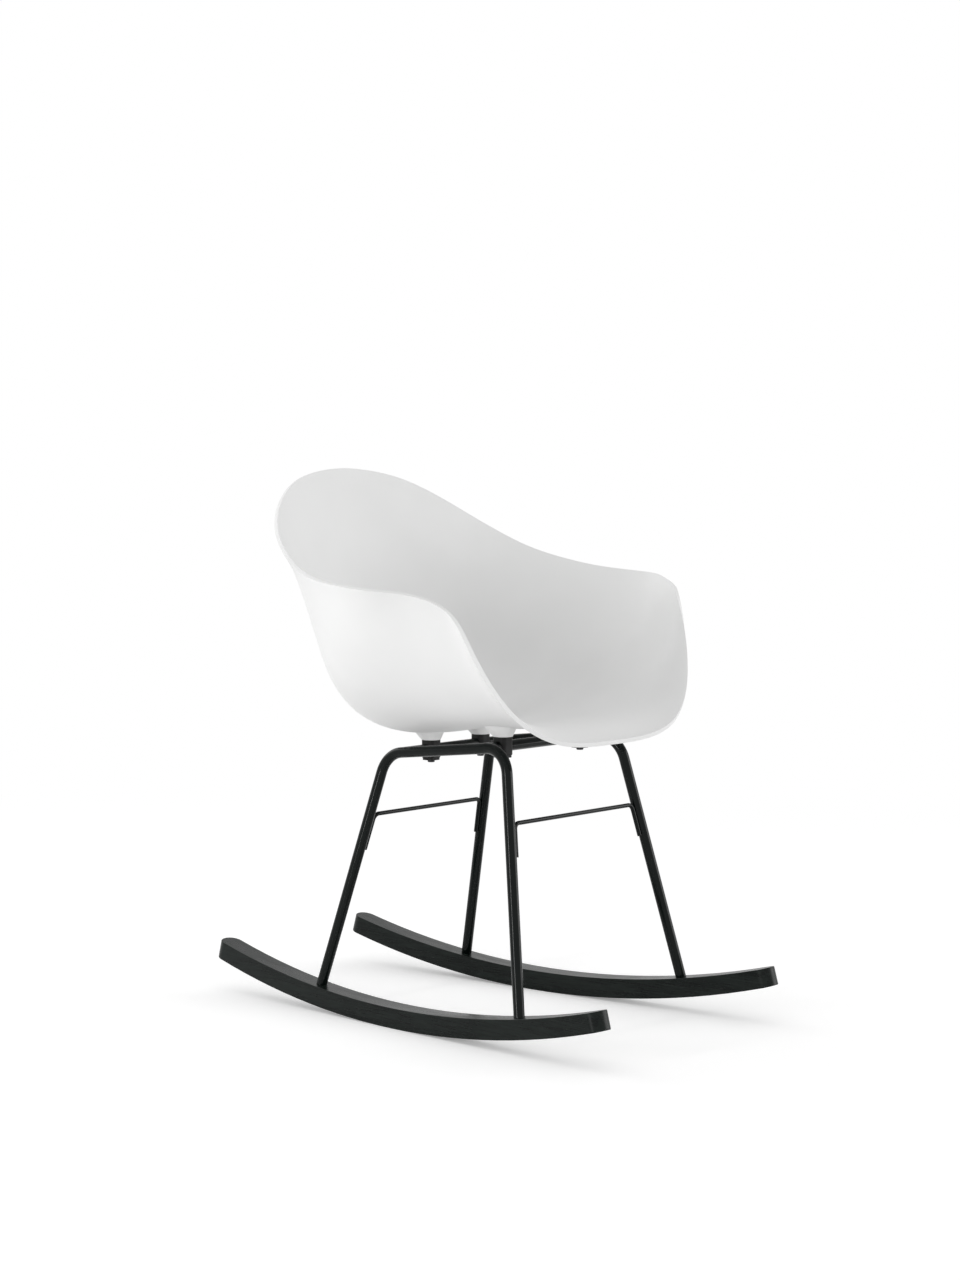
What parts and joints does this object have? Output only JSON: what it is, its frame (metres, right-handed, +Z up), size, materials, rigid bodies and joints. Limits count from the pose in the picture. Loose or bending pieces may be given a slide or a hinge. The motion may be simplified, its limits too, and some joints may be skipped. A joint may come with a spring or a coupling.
{
  "type": "rocking chair",
  "caption": "White moulded bucket seat with integral arms on a bent steel tube frame with curved black wooden rockers.",
  "frame": {"origin": "on the floor, midway along the rockers' length and between them", "axes": "+Z up, the sitter faces -Y, +X is on the sitter's left"},
  "size_m": [0.6396, 0.7612, 0.7656],
  "materials": {
    "seat_plastic": "fine moulded texture, white",
    "insert_brass": "machined",
    "frame_paint": "satin black powder coat",
    "bracket_plastic": "moulded black",
    "plate_steel": "black coated",
    "screw_steel": "black oxide",
    "rocker_wood": "black stained, satin lacquer, fine grain",
    "plug_steel": "turned, inside the legs"
  },
  "bodies": {
    "root": {"seat_shell": "seat_plastic", "boss_inserts": "insert_brass", "side_frame_left": "frame_paint", "side_frame_right": "frame_paint", "front_cross_tube": "frame_paint", "rear_cross_tube": "frame_paint", "front_stretcher": "frame_paint", "rear_stretcher": "frame_paint", "seat_bracket_front_left": "bracket_plastic", "seat_bracket_front_right": "bracket_plastic", "seat_bracket_rear_left": "bracket_plastic", "seat_bracket_rear_right": "bracket_plastic", "bracket_plates": "plate_steel", "seat_screws": "screw_steel", "rocker_left": "rocker_wood", "rocker_right": "rocker_wood", "leg_plugs": "plug_steel", "rocker_washers": "screw_steel", "rocker_screws": "screw_steel"}
  },
  "joints": []
}
